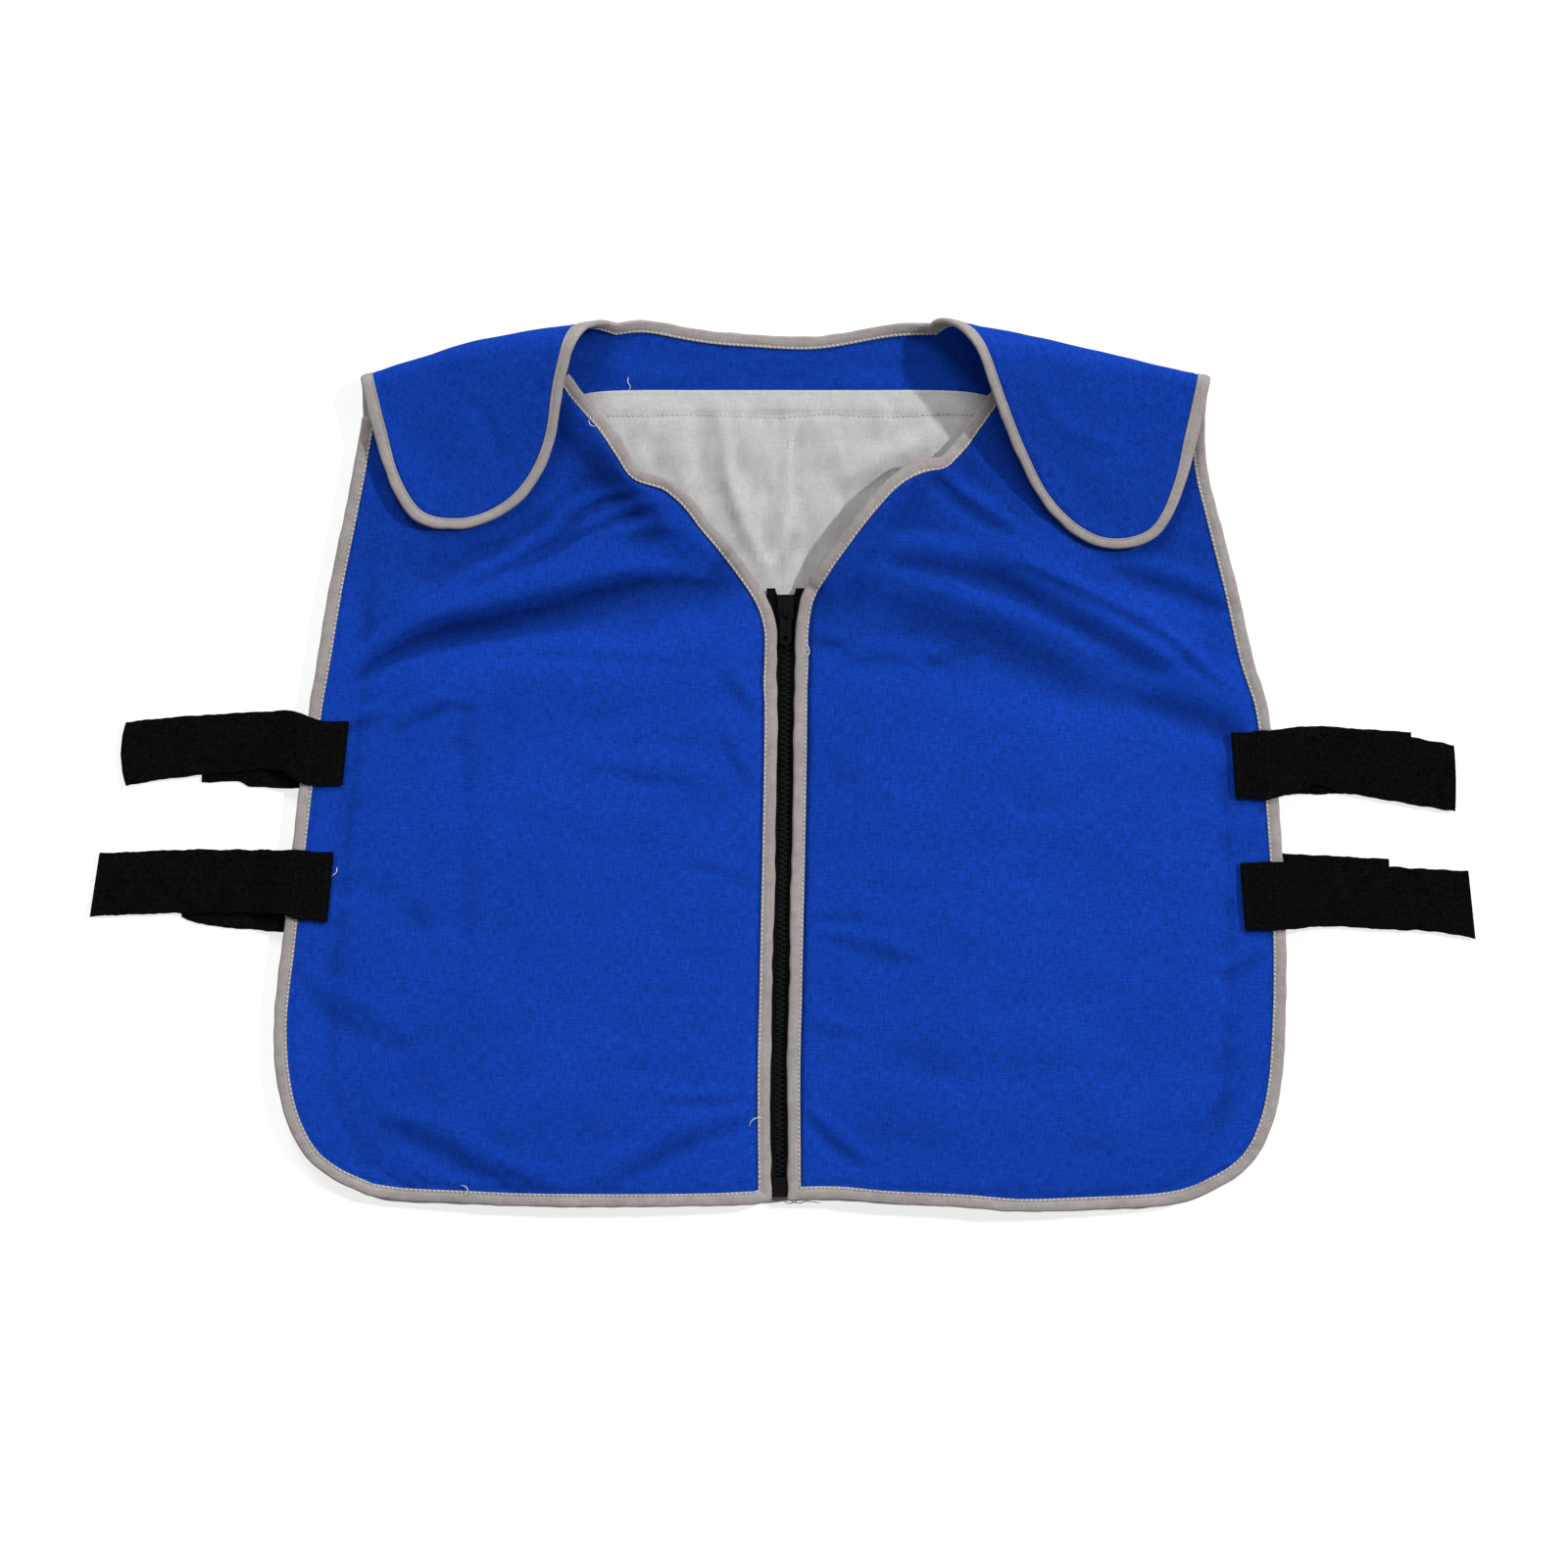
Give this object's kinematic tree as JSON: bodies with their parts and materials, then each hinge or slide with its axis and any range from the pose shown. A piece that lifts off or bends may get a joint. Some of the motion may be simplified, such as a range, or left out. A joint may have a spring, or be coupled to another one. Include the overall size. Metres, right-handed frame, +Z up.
{
  "type": "cooling vest",
  "caption": "Padded cotton cooling vest with bound edges, front zip, hook-and-loop side straps and folded shoulder flaps, lying zipped on its back.",
  "frame": {"origin": "on the floor under the middle of the vest's bounding box", "axes": "+X across the vest towards the side drawn on the right, +Y from the hem to the neck, +Z up from the floor"},
  "size_m": [0.8458, 0.5474, 0.0401],
  "materials": {
    "blue_cloth": "padded royal blue cotton, fine weave",
    "grey_binding": "warm grey woven binding tape",
    "pale_lining": "light grey lining",
    "black_strap": "black hook-and-loop tape",
    "zip_tape": "black woven zip tape",
    "zip_plastic": "black moulded plastic, satin"
  },
  "bodies": {
    "root": {"back_panel": "blue_cloth", "shoulder_flap_left": "blue_cloth", "shoulder_flap_right": "blue_cloth", "back_binding": "grey_binding", "back_lining": "pale_lining", "front_panel_left": "blue_cloth", "front_binding_left": "grey_binding", "front_panel_right": "blue_cloth", "front_binding_right": "grey_binding", "zip_tape_left": "zip_tape", "zip_tape_right": "zip_tape", "zip_chain": "zip_plastic", "zip_slider": "zip_plastic", "zip_box": "zip_plastic", "strap_front_upper_left": "black_strap", "strap_back_upper_left": "black_strap", "strap_front_lower_left": "black_strap", "strap_back_lower_left": "black_strap", "strap_front_upper_right": "black_strap", "strap_back_upper_right": "black_strap", "strap_front_lower_right": "black_strap", "strap_back_lower_right": "black_strap"},
    "pull": {"zip_pull": "zip_plastic"}
  },
  "joints": [
    {"name": "pull_hinge", "type": "hinge", "parent": "root", "child": "pull", "pos_m": [0.0028, 0.09286, 0.0114], "axis": [-1, 0, 0], "range_deg": [0, 175]}
  ]
}
